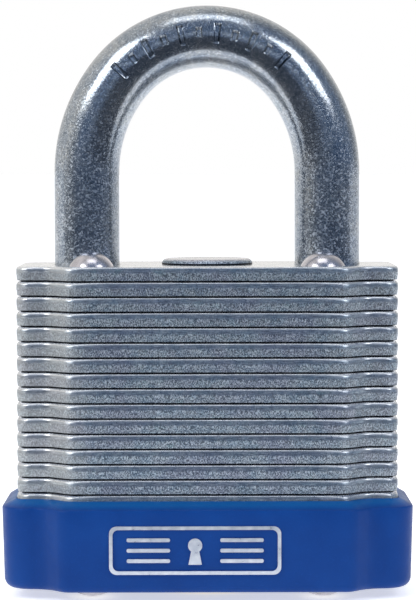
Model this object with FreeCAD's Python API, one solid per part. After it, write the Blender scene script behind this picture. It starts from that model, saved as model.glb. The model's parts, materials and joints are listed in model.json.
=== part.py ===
import FreeCAD, Part
import math
import os

# A laminated steel padlock with a moulded bumper, shown locked.
# X runs across the lock, Y from front to back and Z up. The lowest point of the rivet
# heads under the bumper is at Z = 0, and the shackle's legs stand in the plane Y = 0.

Vector = FreeCAD.Vector
X_AXIS = Vector(1, 0, 0)
Y_AXIS = Vector(0, 1, 0)
Z_AXIS = Vector(0, 0, 1)

# Laminated body
PLATE_COUNT = 21
PLATE_PITCH = 1.832
STACK_BASE = 1.7
BODY_HALF_WIDTH = 23.15
BODY_HALF_DEPTH = 10.75
FRONT_FLAT_HALF = 16.75
SHOULDER_HALF = 19.25
SHOULDER_SETBACK = 2.6
SIDE_CORNER_RADIUS = 1.6
EASE_RADIUS = 2.0
ROLLOVER_RADIUS = 0.3
BREAK_HEIGHT = 0.8
BREAK_TAPER = 0.09
STACK_TOP = STACK_BASE + PLATE_COUNT * PLATE_PITCH
DOME_RADIUS = 5.6
DOME_HEIGHT = 0.75
DOME_EDGE_RADIUS = 0.65

# Moulded bumper
BUMPER_FLOOR = 0.6
BUMPER_WALL = 1.75
BUMPER_GAP = 0.1
BUMPER_FACE_HEIGHT = 10.15
BUMPER_LIP_RISE = 0.8
BUMPER_CORNER_RADIUS = 3.6
BUMPER_EASE_RADIUS = 2.4
BUMPER_EDGE_RADIUS = 0.9
BUMPER_BASE = STACK_BASE - BUMPER_FLOOR
BUMPER_KEY_HOLE_RADIUS = 5.4

# Badge set into the bumper's front
BADGE_WIDTH = 20.6
BADGE_HEIGHT = 5.8
BADGE_CORNER = 0.9
BADGE_RIM = 0.42
BADGE_PROUD = 0.1
BADGE_DEPTH = 0.35
BADGE_MIDDLE_X = -1.5
BADGE_MIDDLE_Z = 6.33

# Rivets
RIVET_X = 14.0
RIVET_Y = 7.1
RIVET_SHANK_RADIUS = 1.9
RIVET_HOLE_RADIUS = 1.95
RIVET_HEAD_RADIUS = 2.7
RIVET_TOP_HEIGHT = 1.75

# Shackle
LEG_X = 14.8
ROD_RADIUS = 4.0
LEG_STRAIGHT = 11.3                     # above the plates, up to the bend
HAUNCH_RADIUS = 18.5
HAUNCH_TURN = 38
LEG_BORE_RADIUS = 4.1
LEG_CHAMFER = 0.7
HEEL_END = 9.0
TOE_END = 28.6
SHACKLE_LIFT = 12.0
RETAINER_RADIUS = 1.1
RETAINER_DEPTH = 1.3
RETAINER_PROUD = 0.4
RETAINER_PLATE = 13
TOE_BORE_PLATE = 14
HEEL_BORE_PLATE = 1

# Locking bolts and cam
RIGHT_BOLT_PLATE = 16
LEFT_BOLT_PLATE = 17
CAM_PLATE = 15
BOLT_PLAY = 0.1
BOLT_TIP = 12.1
BOLT_NECK = 9.4
BOLT_TAIL = 4.0
BOLT_NOSE_HALF = 1.5
BOLT_SIDE = 6.4
CAM_PIN_ORBIT = 4.2
CAM_PIN_RADIUS = 0.8
CAM_SLOT_PLAY = 0.2
CAM_RADIUS = 5.4
CAM_START_ANGLE = 135.0
BOLT_TRAVEL = 2 * CAM_PIN_ORBIT * math.cos(math.radians(45))
NOTCH_DEPTH = 1.4
NOTCH_PLAY = 0.1

# Lock cylinder
HOUSING_RADIUS = 6.5
HOUSING_TOP = 24.4
PLUG_RADIUS = 4.5
PLUG_PLAY = 0.05
PLUG_FACE = 1.35
PLUG_STUB_RADIUS = 3.0
PLUG_TANG = 3.4
BIBLE_HALF = 2.6
BIBLE_END = 13.2
BIBLE_BOTTOM = 4.4
BIBLE_TOP = 21.4
CAVITY_PLAY = 0.05
KEYWAY_TOP = 22.0
PIN_COUNT = 5
PIN_FIRST_Z = 6.5
PIN_SPACING = 3.2
PIN_RADIUS = 1.2
PIN_HOLE_RADIUS = 1.26
KEY_PIN_OUTER = 4.28
KEY_PIN_SHORTEST = 2.6
KEY_PIN_STEP = 0.25
KEY_PIN_DEPTHS = (2, 0, 4, 1, 3)
DRIVER_INNER = 4.65
DRIVER_LENGTH = 3.0
COVER_THICKNESS = 0.8
CLIP_THICKNESS = 0.5
CLIP_RADIUS = 5.6
CLIP_GROOVE_RADIUS = 3.9

# Springs
SHACKLE_SPRING_RADIUS = 3.1
SHACKLE_SPRING_WIRE = 0.35
SHACKLE_SPRING_TURNS = 6.0
DRIVER_SPRING_RADIUS = 0.85
DRIVER_SPRING_WIRE = 0.15
DRIVER_SPRING_TURNS = 8.0
SPRING_PLAY = 0.06


def plate_base(index):
    """Height of the underside of a plate, counted from 0 at the bottom of the stack."""
    return STACK_BASE + index * PLATE_PITCH


def cylinder(radius, bottom, top, x=0.0, y=0.0):
    return Part.makeCylinder(radius, top - bottom, Vector(x, y, bottom), Z_AXIS)


def rod_along_x(radius, start, end, z):
    """A round bar in the plane Y = 0, parallel to X."""
    return Part.makeCylinder(radius, end - start, Vector(start, 0, z), X_AXIS)


def box(low, high):
    size = [b - a for a, b in zip(low, high)]
    return Part.makeBox(size[0], size[1], size[2], Vector(*low))


def mirrored_in_x(shape):
    return shape.mirror(Vector(0, 0, 0), X_AXIS)


def rounded_polygon(corners):
    """A closed wire at Z = 0 through (x, y, radius) corners, each rounded by its arc."""
    points = [Vector(x, y, 0) for x, y, _ in corners]
    arcs = []
    for i, (_, _, radius) in enumerate(corners):
        here = points[i]
        back = (points[i - 1] - here).normalize()
        ahead = (points[(i + 1) % len(points)] - here).normalize()
        half_turn = back.getAngle(ahead) / 2
        reach = radius / math.tan(half_turn)
        middle = (back + ahead).normalize() * (radius / math.sin(half_turn) - radius)
        arcs.append((here + back * reach, here + middle, here + ahead * reach))
    edges = []
    for i, arc in enumerate(arcs):
        edges.append(Part.Arc(*arc).toShape())
        edges.append(Part.makeLine(arc[2], arcs[(i + 1) % len(arcs)][0]))
    return Part.Wire(edges)


def stepped_outline(grow, corner_radius, ease_radius):
    """The body's plan at Z = 0: a front and back face, sloping in to a shoulder near each side."""
    bevel_shift = grow * math.tan(math.radians(22.5))
    side = BODY_HALF_WIDTH + grow
    face = BODY_HALF_DEPTH + grow
    shoulder = face - SHOULDER_SETBACK
    quarter = [
        (side, shoulder, corner_radius),
        (SHOULDER_HALF + bevel_shift, shoulder, ease_radius),
        (FRONT_FLAT_HALF + bevel_shift, face, ease_radius),
    ]
    back = quarter + [(-x, y, r) for x, y, r in reversed(quarter)]
    front = [(-x, -y, r) for x, y, r in back]
    return rounded_polygon(back + front)


def stepped_prism(grow, corner_radius, ease_radius, bottom, top):
    face = Part.Face(stepped_outline(grow, corner_radius, ease_radius))
    face.translate(Vector(0, 0, bottom))
    return face.extrude(Vector(0, 0, top - bottom))


def edges_at(shape, z):
    """The edges that lie wholly in the level plane at height z."""
    return [e for e in shape.Edges if all(abs(v.Z - z) < 1e-6 for v in e.Vertexes)]


def polygon_prism(points, start, length):
    """A solid of length `length` along Y from `start`, with a profile of (x, z) points."""
    corners = [Vector(x, start, z) for x, z in points]
    face = Part.Face(Part.makePolygon(corners + corners[:1]))
    return face.extrude(Vector(0, length, 0))


def coil_spring(radius, wire, height, turns):
    """A round-wire helical spring along Z from Z = 0, with its wire inside the height."""
    pitch = (height - 2 * wire) / turns
    helix = Part.makeHelix(pitch, height - 2 * wire, radius)
    section = Part.Wire(Part.makeCircle(wire, Vector(radius, 0, 0), Y_AXIS))
    spring = Part.Wire(helix).makePipeShell([section], True, True)
    spring.translate(Vector(0, 0, wire))
    return spring


# Laminated plates ---------------------------------------------------------------------

def plate_blank():
    """One stamped plate: a rolled-over top edge, a smooth band, then a tapered broken band."""
    sheared = stepped_prism(0, SIDE_CORNER_RADIUS, EASE_RADIUS, BREAK_HEIGHT, PLATE_PITCH)
    sheared = sheared.makeFillet(ROLLOVER_RADIUS, edges_at(sheared, PLATE_PITCH))
    break_top = stepped_outline(0, SIDE_CORNER_RADIUS, EASE_RADIUS)
    break_top.translate(Vector(0, 0, BREAK_HEIGHT))
    break_foot = stepped_outline(-BREAK_TAPER, SIDE_CORNER_RADIUS, EASE_RADIUS)
    return sheared.fuse(Part.makeLoft([break_foot, break_top], True, True))


def cylinder_cavity():
    """The pocket for the lock cylinder, open at the bottom of the stack."""
    radius = HOUSING_RADIUS + CAVITY_PLAY
    half = BIBLE_HALF + CAVITY_PLAY
    top = plate_base(RETAINER_PLATE)
    barrel = cylinder(radius, STACK_BASE - 1, top)
    bible = box((-BIBLE_END - CAVITY_PLAY, -half, STACK_BASE - 1), (0, half, BIBLE_TOP + CAVITY_PLAY))
    return barrel.fuse(bible)


def bolt_channel(index, side):
    """The track of one bolt, as deep as its plate. `side` is the wide side, +1 or -1 in Y."""
    low, high = plate_base(index), plate_base(index + 1)
    narrow = BOLT_NOSE_HALF + BOLT_PLAY
    wide = BOLT_SIDE + BOLT_PLAY
    reach = BOLT_NECK + 0.6
    y_low, y_high = (-narrow, wide) if side > 0 else (-wide, narrow)
    track = box((-reach, y_low, low), (reach, y_high, high))
    nose = box((-BOLT_TIP, -narrow, low), (BOLT_TIP, narrow, high))
    return track.fuse(nose)


def cam_pin_sweep():
    """Room in the lower bolt's plate for the cam pin that passes it to the upper bolt."""
    reach = CAM_PIN_ORBIT + CAM_PIN_RADIUS + 0.4
    return box(
        (-reach, 0, plate_base(RIGHT_BOLT_PLATE)),
        (reach, reach, plate_base(RIGHT_BOLT_PLATE + 1)),
    )


def body_voids():
    """Everything that is drilled or stamped out of the stack of plates."""
    above = STACK_TOP + 1
    voids = [
        cylinder(LEG_BORE_RADIUS, plate_base(HEEL_BORE_PLATE), above, LEG_X),
        cylinder(LEG_BORE_RADIUS, plate_base(TOE_BORE_PLATE), above, -LEG_X),
        cylinder_cavity(),
        cylinder(PLUG_STUB_RADIUS + 0.3, plate_base(RETAINER_PLATE) - 1, plate_base(CAM_PLATE)),
        cylinder(CAM_RADIUS + 0.2, plate_base(CAM_PLATE), plate_base(CAM_PLATE + 1)),
        bolt_channel(RIGHT_BOLT_PLATE, -1),
        bolt_channel(LEFT_BOLT_PLATE, 1),
        cam_pin_sweep(),
        rod_along_x(RETAINER_RADIUS, LEG_X, BODY_HALF_WIDTH + 1, plate_base(RETAINER_PLATE)),
    ]
    for x in (-RIVET_X, RIVET_X):
        for y in (-RIVET_Y, RIVET_Y):
            voids.append(cylinder(RIVET_HOLE_RADIUS, STACK_BASE - 1, above, x, y))
    return voids


def top_dome():
    """The low round boss pressed up in the middle of the top plate."""
    boss_top = STACK_TOP + DOME_HEIGHT
    boss = cylinder(DOME_RADIUS, STACK_TOP - 0.5, boss_top)
    return boss.makeFillet(DOME_EDGE_RADIUS, edges_at(boss, boss_top))


def plates():
    blank = plate_blank()
    voids = body_voids()
    made = {}
    for index in range(PLATE_COUNT):
        plate = blank.copy()
        plate.translate(Vector(0, 0, plate_base(index)))
        if index == PLATE_COUNT - 1:
            plate = plate.fuse(top_dome())
        made[f"plate_{index + 1:02d}"] = plate.cut(voids)
    return made


# Bumper, badge and rivets -------------------------------------------------------------

def badge():
    """A plain framed plate with a keyhole between two bars, set into the bumper's front."""
    front = -(BODY_HALF_DEPTH + BUMPER_WALL + BUMPER_GAP) - BADGE_PROUD
    thickness = BADGE_PROUD + BADGE_DEPTH

    def plate(width, height, corner):
        x, z = width / 2, height / 2
        wire = rounded_polygon([(x, z, corner), (-x, z, corner), (-x, -z, corner), (x, -z, corner)])
        return Part.Face(wire).extrude(Vector(0, 0, thickness))

    inner_corner = BADGE_CORNER - BADGE_RIM / 2
    frame = plate(BADGE_WIDTH, BADGE_HEIGHT, BADGE_CORNER)
    frame = frame.cut(plate(BADGE_WIDTH - 2 * BADGE_RIM, BADGE_HEIGHT - 2 * BADGE_RIM, inner_corner))
    keyhole_top = Part.makeCylinder(0.85, thickness, Vector(0, 0.6, 0))
    corners = [(-0.35, 0.6), (0.35, 0.6), (0.8, -1.7), (-0.8, -1.7), (-0.35, 0.6)]
    skirt = Part.makePolygon([Vector(x, y, 0) for x, y in corners])
    pieces = [frame, keyhole_top.fuse(Part.Face(skirt).extrude(Vector(0, 0, thickness)))]
    for side in (-1, 1):
        for level in (-1.25, 0, 1.25):
            bar = plate(5.2, 0.45, 0.2)
            bar.translate(Vector(side * 5.6, level, 0))
            pieces.append(bar)
    shape = Part.makeCompound(pieces)
    shape.rotate(Vector(0, 0, 0), X_AXIS, 90)
    shape.translate(Vector(BADGE_MIDDLE_X, front + thickness, BADGE_MIDDLE_Z))
    return shape


def bumper(badge_shape):
    """A cup round the foot of the stack, with a sloping lip and holes for the fasteners."""
    outer_grow = BUMPER_WALL + BUMPER_GAP
    face_top = BUMPER_BASE + BUMPER_FACE_HEIGHT
    lip_top = face_top + BUMPER_LIP_RISE
    cup = stepped_prism(outer_grow, BUMPER_CORNER_RADIUS, BUMPER_EASE_RADIUS, BUMPER_BASE, lip_top)
    cup = cup.makeFillet(BUMPER_EDGE_RADIUS, edges_at(cup, BUMPER_BASE))
    cup = cup.makeChamfer(BUMPER_LIP_RISE, edges_at(cup, lip_top))
    pocket = stepped_prism(BUMPER_GAP, SIDE_CORNER_RADIUS, EASE_RADIUS, STACK_BASE, lip_top + 1)
    holes = [pocket, cylinder(BUMPER_KEY_HOLE_RADIUS, 0, STACK_BASE + 1)]
    for x in (-RIVET_X, RIVET_X):
        for y in (-RIVET_Y, RIVET_Y):
            holes.append(cylinder(RIVET_HOLE_RADIUS, 0, STACK_BASE + 1, x, y))
    return cup.cut(holes + badge_shape.Solids)


def domed_head(x, y, seat, height):
    """A button head on its seat, domed upward for a positive height, downward otherwise."""
    radius = (RIVET_HEAD_RADIUS ** 2 + height ** 2) / (2 * abs(height))
    centre = Vector(x, y, seat + height - math.copysign(radius, height))
    low, high = min(seat, seat + height), max(seat, seat + height)
    return Part.makeSphere(radius, centre).common(cylinder(RIVET_HEAD_RADIUS, low, high, x, y))


def rivets():
    """Four full-height rivets that clamp the bumper and all the plates."""
    made = []
    for x in (-RIVET_X, RIVET_X):
        for y in (-RIVET_Y, RIVET_Y):
            shank = cylinder(RIVET_SHANK_RADIUS, BUMPER_BASE, STACK_TOP, x, y)
            top = domed_head(x, y, STACK_TOP, RIVET_TOP_HEIGHT)
            bottom = domed_head(x, y, BUMPER_BASE, -BUMPER_BASE)
            made.append(shank.fuse([top, bottom]))
    return Part.makeCompound(made)


# Shackle ------------------------------------------------------------------------------

def bolt_notch(index):
    """The cut in the right leg for the bolt at plate `index`, with a ramped lower flank."""
    bolt_bottom = plate_base(index) + BOLT_PLAY
    bolt_top = plate_base(index + 1) - BOLT_PLAY
    inner_face = LEG_X - ROD_RADIUS
    floor = inner_face + NOTCH_DEPTH
    mouth = inner_face - 0.5
    ramp = SHACKLE_LIFT / BOLT_TRAVEL
    low = bolt_bottom - NOTCH_PLAY
    high = bolt_top + NOTCH_PLAY
    profile = [(floor, low), (floor, high), (mouth, high), (mouth, low - ramp * (floor - mouth))]
    return polygon_prism(profile, -ROD_RADIUS, 2 * ROD_RADIUS)


def shackle_leg(x, end, top):
    leg = cylinder(ROD_RADIUS, end, top, x)
    return leg.makeChamfer(LEG_CHAMFER, edges_at(leg, end))


def shackle_arch(spring_line):
    """The bend: a wide arc up from each leg and a tighter one over the crown."""
    turning = Vector(0, -1, 0)
    haunch_centre = Vector(LEG_X - HAUNCH_RADIUS, 0, spring_line)
    crown_rise = (HAUNCH_RADIUS - LEG_X) * math.tan(math.radians(HAUNCH_TURN))
    section = Part.Face(Part.Wire(Part.makeCircle(ROD_RADIUS, Vector(LEG_X, 0, spring_line), Z_AXIS)))
    haunch = section.revolve(haunch_centre, turning, HAUNCH_TURN)
    section.rotate(haunch_centre, turning, HAUNCH_TURN)
    crown = section.revolve(Vector(0, 0, spring_line + crown_rise), turning, 180 - 2 * HAUNCH_TURN)
    return haunch.fuse([crown, mirrored_in_x(haunch)])


def shackle():
    """A bent round rod with a long heel leg at +X and a short toe leg at -X."""
    spring_line = STACK_TOP + LEG_STRAIGHT
    heel = shackle_leg(LEG_X, HEEL_END, spring_line)
    toe = shackle_leg(-LEG_X, TOE_END, spring_line)
    pin_z = plate_base(RETAINER_PLATE)
    pin_room = RETAINER_RADIUS + 0.2
    flat = LEG_X + ROD_RADIUS - RETAINER_DEPTH
    neck_low = pin_z - SHACKLE_LIFT - pin_room
    neck_high = pin_z - SHACKLE_LIFT + pin_room
    neck = cylinder(ROD_RADIUS + 1, neck_low, neck_high, LEG_X)
    neck = neck.cut(cylinder(ROD_RADIUS - RETAINER_DEPTH, neck_low, neck_high, LEG_X))
    groove = box((flat, -ROD_RADIUS, neck_low), (flat + 2, ROD_RADIUS, pin_z + pin_room))
    rod = shackle_arch(spring_line).fuse([heel, toe]).removeSplitter()
    return rod.cut([neck, groove, bolt_notch(RIGHT_BOLT_PLATE), mirrored_in_x(bolt_notch(LEFT_BOLT_PLATE))])


def shackle_spring():
    height = HEEL_END - plate_base(HEEL_BORE_PLATE) - 2 * SPRING_PLAY
    spring = coil_spring(SHACKLE_SPRING_RADIUS, SHACKLE_SPRING_WIRE, height, SHACKLE_SPRING_TURNS)
    spring.translate(Vector(LEG_X, 0, plate_base(HEEL_BORE_PLATE) + SPRING_PLAY))
    return spring


def retaining_pin():
    """The pin that stops the heel leg; its rounded end stands proud of the lock's side."""
    start = LEG_X + ROD_RADIUS - RETAINER_DEPTH + 0.15
    end = BODY_HALF_WIDTH + RETAINER_PROUD
    pin = rod_along_x(RETAINER_RADIUS, start, end, plate_base(RETAINER_PLATE))
    outer = [e for e in pin.Edges if all(abs(v.X - end) < 1e-6 for v in e.Vertexes)]
    return pin.makeFillet(RETAINER_PROUD, outer)


# Locking bolts and cam ----------------------------------------------------------------

def right_bolt_at(index):
    """The bolt whose nose enters the right leg; its wide side with the slot is at -Y."""
    low = plate_base(index) + BOLT_PLAY
    high = plate_base(index + 1) - BOLT_PLAY
    bar = box((-BOLT_TAIL, -BOLT_SIDE, low), (BOLT_NECK, BOLT_NOSE_HALF, high))
    nose = box((BOLT_NECK, -BOLT_NOSE_HALF, low), (BOLT_TIP, BOLT_NOSE_HALF, high))
    pin_x = CAM_PIN_ORBIT * math.cos(math.radians(CAM_START_ANGLE - 180))
    pin_near = CAM_PIN_ORBIT * math.sin(math.radians(45))
    half = CAM_PIN_RADIUS + CAM_SLOT_PLAY
    slot = box((pin_x - half, -CAM_PIN_ORBIT - half, low), (pin_x + half, -pin_near + half, high))
    return bar.fuse(nose).removeSplitter().cut(slot)


def left_bolt():
    """The same bolt turned half round, one plate higher, for the left leg."""
    bolt = right_bolt_at(LEFT_BOLT_PLATE)
    bolt.rotate(Vector(0, 0, 0), Z_AXIS, 180)
    return bolt


def cam():
    """The disc on the plug's tang, with one short and one long pin for the two bolts."""
    disc_low = plate_base(CAM_PLATE) + BOLT_PLAY
    disc_top = plate_base(CAM_PLATE + 1) - BOLT_PLAY
    disc = cylinder(CAM_RADIUS, disc_low, disc_top)
    pins = []
    for turn, index in ((0, LEFT_BOLT_PLATE), (180, RIGHT_BOLT_PLATE)):
        angle = math.radians(CAM_START_ANGLE - turn)
        x, y = CAM_PIN_ORBIT * math.cos(angle), CAM_PIN_ORBIT * math.sin(angle)
        pins.append(cylinder(CAM_PIN_RADIUS, disc_top - 0.5, plate_base(index + 1) - 0.15, x, y))
    half = PLUG_TANG / 2
    tang_hole = box((-half, -half, disc_low), (half, half, disc_top))
    return disc.fuse(pins).cut(tang_hole)


# Lock cylinder ------------------------------------------------------------------------

def pin_heights():
    return [PIN_FIRST_Z + i * PIN_SPACING for i in range(PIN_COUNT)]


def keyway():
    """The slot for the key: two offset halves, so that its section is a shallow Z."""
    near = box((-3.4, -0.95, PLUG_FACE - 1), (0.4, 0.45, KEYWAY_TOP))
    far = box((0.4, -0.45, PLUG_FACE - 1), (3.8, 0.95, KEYWAY_TOP))
    step = box((0.1, -0.45, PLUG_FACE - 1), (0.7, 0.45, KEYWAY_TOP))
    return near.fuse([far, step])


def plug():
    """The part that the key turns, with its keyway, five pin holes and drive tang."""
    tang_top = plate_base(CAM_PLATE + 1) - BOLT_PLAY
    tang_bottom = plate_base(CAM_PLATE)
    half = PLUG_TANG / 2
    body = cylinder(PLUG_RADIUS, PLUG_FACE, plate_base(RETAINER_PLATE) - BOLT_PLAY)
    body = body.makeChamfer(0.25, edges_at(body, PLUG_FACE))
    stub = cylinder(PLUG_STUB_RADIUS, HOUSING_TOP, tang_bottom)
    tang = box((-half, -half, tang_bottom), (half, half, tang_top))
    groove = cylinder(PLUG_RADIUS + 1, HOUSING_TOP + 0.05, HOUSING_TOP + 0.05 + CLIP_THICKNESS)
    groove = groove.cut(cylinder(CLIP_GROOVE_RADIUS, HOUSING_TOP, HOUSING_TOP + 1))
    holes = [rod_along_x(PIN_HOLE_RADIUS, -PLUG_RADIUS - 1, 1.0, z) for z in pin_heights()]
    return body.fuse([stub, tang]).cut([keyway(), groove] + holes)


def plug_clip():
    """A split ring in the plug's groove, which keeps the plug from dropping out."""
    low = HOUSING_TOP + 0.05
    ring = cylinder(CLIP_RADIUS, low, low + CLIP_THICKNESS)
    gap = box((-1.2, 0, low - 1), (1.2, CLIP_RADIUS + 1, low + 1))
    return ring.cut([cylinder(CLIP_GROOVE_RADIUS, low - 1, low + 1), gap])


def cylinder_housing():
    """The fixed barrel, with the block that holds the five pin chambers at -X."""
    barrel = cylinder(HOUSING_RADIUS, STACK_BASE, HOUSING_TOP)
    block = box((-BIBLE_END, -BIBLE_HALF, BIBLE_BOTTOM), (0, BIBLE_HALF, BIBLE_TOP))
    bore = cylinder(PLUG_RADIUS + PLUG_PLAY, STACK_BASE - 1, HOUSING_TOP + 1)
    cover_slot = chamber_cover()
    chambers = [rod_along_x(PIN_HOLE_RADIUS, -BIBLE_END, 0, z) for z in pin_heights()]
    return barrel.fuse(block).cut([bore, cover_slot] + chambers)


def chamber_cover():
    """The strip that closes the outer ends of the pin chambers."""
    half = BIBLE_HALF - 0.7
    low = (-BIBLE_END, -half, BIBLE_BOTTOM + 0.4)
    high = (-BIBLE_END + COVER_THICKNESS, half, BIBLE_TOP - 0.4)
    return box(low, high)


def pin_stacks():
    """Key pin, driver pin and spring of each chamber, meeting at the shear line."""
    made = {}
    driver_outer = DRIVER_INNER + DRIVER_LENGTH
    spring_room = BIBLE_END - COVER_THICKNESS - driver_outer - 2 * SPRING_PLAY
    spring = coil_spring(DRIVER_SPRING_RADIUS, DRIVER_SPRING_WIRE, spring_room, DRIVER_SPRING_TURNS)
    spring.rotate(Vector(0, 0, 0), Y_AXIS, -90)
    for i, z in enumerate(pin_heights()):
        length = KEY_PIN_SHORTEST + KEY_PIN_STEP * KEY_PIN_DEPTHS[i]
        tip = Part.makeCone(PIN_RADIUS, 0.5, 0.6, Vector(-KEY_PIN_OUTER + length - 0.6, 0, z), X_AXIS)
        shank = rod_along_x(PIN_RADIUS, -KEY_PIN_OUTER, -KEY_PIN_OUTER + length - 0.6, z)
        placed_spring = spring.copy()
        placed_spring.translate(Vector(-driver_outer - SPRING_PLAY, 0, z))
        made[f"key_pin_{i + 1}"] = shank.fuse(tip)
        made[f"driver_pin_{i + 1}"] = rod_along_x(PIN_RADIUS, -driver_outer, -DRIVER_INNER, z)
        made[f"driver_spring_{i + 1}"] = placed_spring
    return made


def padlock():
    """Every node of the padlock by name."""
    badge_shape = badge()
    nodes = plates()
    nodes.update(pin_stacks())
    nodes.update(
        bumper=bumper(badge_shape),
        badge=badge_shape,
        rivets=rivets(),
        shackle=shackle(),
        shackle_spring=shackle_spring(),
        retaining_pin=retaining_pin(),
        right_bolt=right_bolt_at(RIGHT_BOLT_PLATE),
        left_bolt=left_bolt(),
        cam=cam(),
        plug=plug(),
        plug_clip=plug_clip(),
        cylinder_housing=cylinder_housing(),
        chamber_cover=chamber_cover(),
    )
    return nodes


os.makedirs("parts", exist_ok=True)
for name, shape in padlock().items():
    shape.exportStep(f"parts/{name}.step")
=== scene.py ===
import json
import math

import bmesh
import bpy
from mathutils import Matrix, Vector, noise


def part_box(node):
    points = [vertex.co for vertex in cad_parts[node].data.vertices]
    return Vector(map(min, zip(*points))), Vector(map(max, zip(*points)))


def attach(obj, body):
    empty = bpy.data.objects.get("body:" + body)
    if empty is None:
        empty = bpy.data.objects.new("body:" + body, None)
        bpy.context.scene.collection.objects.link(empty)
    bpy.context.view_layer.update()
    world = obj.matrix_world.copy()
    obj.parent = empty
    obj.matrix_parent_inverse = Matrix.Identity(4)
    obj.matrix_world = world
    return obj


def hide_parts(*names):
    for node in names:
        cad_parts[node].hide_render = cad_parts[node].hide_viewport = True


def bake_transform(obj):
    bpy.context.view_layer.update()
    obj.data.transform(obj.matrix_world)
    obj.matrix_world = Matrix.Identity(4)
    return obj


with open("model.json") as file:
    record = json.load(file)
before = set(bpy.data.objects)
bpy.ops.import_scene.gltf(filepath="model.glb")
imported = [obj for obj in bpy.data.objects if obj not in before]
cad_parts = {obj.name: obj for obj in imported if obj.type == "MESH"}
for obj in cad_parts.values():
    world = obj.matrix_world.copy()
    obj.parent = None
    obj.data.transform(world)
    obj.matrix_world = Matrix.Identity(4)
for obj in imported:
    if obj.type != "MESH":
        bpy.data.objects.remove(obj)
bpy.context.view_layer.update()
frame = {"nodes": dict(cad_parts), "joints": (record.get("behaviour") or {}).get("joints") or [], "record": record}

# A laminated padlock. The CAD frame gives every place and size; this script gives the
# plates, bumper, shackle and rivets their finished surfaces, and every node its material.

MM = 0.001
FIT = 0.01 * MM            # a finished skin stays this far inside its CAD solid

# Sizes of the plan outline and plate edge, as in the CAD model
PLATES = sorted(name for name in frame["nodes"] if name.startswith("plate_"))
STACK_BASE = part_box(PLATES[0])[0].z
PLATE_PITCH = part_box(PLATES[1])[0].z - STACK_BASE
STACK_TOP = STACK_BASE + len(PLATES) * PLATE_PITCH
BODY_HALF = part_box(PLATES[0])[1]
FRONT_FLAT_HALF = 16.75 * MM
SHOULDER_HALF = 19.25 * MM
SHOULDER_SETBACK = 2.6 * MM
SIDE_CORNER_RADIUS = 1.6 * MM
EASE_RADIUS = 2.0 * MM
BREAK_HEIGHT = 0.8 * MM
BREAK_TAPER = 0.09 * MM
ROLLOVER_RADIUS = 0.34 * MM
CORNER_ROLLOVER = 0.24 * MM      # extra rollover where the outline turns outward
CORNER_REACH = 1.5 * MM
ROLL_DRIFT = 0.05 * MM           # how much the rollover varies along the edge
DRIFT_SIZE = 4 * MM
BREAK_ROUGHNESS = 0.035 * MM     # depth of the unevenness on the sheared break,
BAND_ROUGHNESS = 0.004 * MM      # on the burnished band above it
ROLL_ROUGHNESS = 0.002 * MM      # and on the rollover
ROUGHNESS_SIZE = 0.9 * MM
EDGE_STEP = 0.05 * MM
UNDERCUT_DEPTH = 0.55 * MM       # the dark line under each plate
UNDERCUT_HEIGHT = 0.20 * MM
BOSS_RADIUS = 5.6 * MM
BOSS_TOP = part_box(PLATES[-1])[1].z
BOSS_SHOULDER = 0.66 * MM

# Bumper
BUMPER_LOW, BUMPER_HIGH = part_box("bumper")
BUMPER_GROW = BUMPER_HIGH.x - BODY_HALF.x
BUMPER_CORNER_RADIUS = 3.6 * MM
BUMPER_EASE_RADIUS = 2.4 * MM
BUMPER_DRAFT = 0.24 * MM
BUMPER_FOOT_RADIUS = 0.95 * MM
BUMPER_END_FOOT_RADIUS = 1.3 * MM
BUMPER_END_X = 20.5 * MM         # the foot's radius grows about here,
BUMPER_END_EASE = 6 * MM         # over this width
BUMPER_LIP_RISE = 0.8 * MM
BUMPER_LIP_WIDTH = 1.7 * MM
BUMPER_LIP_EASE = 0.3 * MM
BUMPER_LIP_SET = 0.06 * MM

# Rivets and retaining pin
RIVET_HEAD_RADIUS = 2.7 * MM
RIVET_SHANK_RADIUS = 1.9 * MM
RIVET_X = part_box("rivets")[1].x - RIVET_HEAD_RADIUS
RIVET_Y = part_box("rivets")[1].y - RIVET_HEAD_RADIUS
RIVET_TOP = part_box("rivets")[1].z
PIN_DOME = 0.42 * MM
PIN_CHAMFER = 0.15 * MM

# Shackle
SHACKLE_LOW, SHACKLE_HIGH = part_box("shackle")
ROD_RADIUS = SHACKLE_HIGH.y
LEG_X = SHACKLE_HIGH.x - ROD_RADIUS
SPRING_LINE = STACK_TOP + 11.3 * MM
HAUNCH_RADIUS = 18.5 * MM
HAUNCH_TURN = math.radians(38)
TOE_END = 28.6 * MM
LEG_CHAMFER = 0.7 * MM
ARCH_FLATTENING = 0.045
NOTCH_DEPTH = 1.4 * MM
NOTCH_PLAY = 0.1 * MM
RETAINER_DEPTH = 1.3 * MM
RETAINER_PLAY = 0.2 * MM
MARK_FIRST, MARK_LAST, MARK_COUNT = -11.6 * MM, 9.8 * MM, 11     # along the crown
MARK_HALF_LENGTH = 1.2 * MM
MARK_HALF_WIDTH = 0.30 * MM
MARK_SHORT_HALF = 0.55 * MM
MARK_DEPTH = 0.40 * MM
MARK_EASE = 0.16 * MM
MARK_OFFSET = 0.35 * MM

# Springs: the share of the length, at each end, that sets each spring's seat and tip points.
END_COIL_SHARE = 0.12

# Camera
LENS_MM = 164.7
CAMERA_PLACE = (0.1 * MM, -339.0 * MM, 52.0 * MM)
CAMERA_DOWNWARD = math.radians(2.75)
CAMERA_ROLL = math.radians(-0.12)


# Mesh helpers ---------------------------------------------------------------------------

def new_piece(name, mesh, body, material):
    """Adds a finished piece to the scene, riding on a CAD body."""
    piece = bpy.data.objects.new(name, mesh)
    bpy.context.scene.collection.objects.link(piece)
    mesh.materials.clear()
    mesh.materials.append(material)
    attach(piece, body)
    return piece


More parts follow.
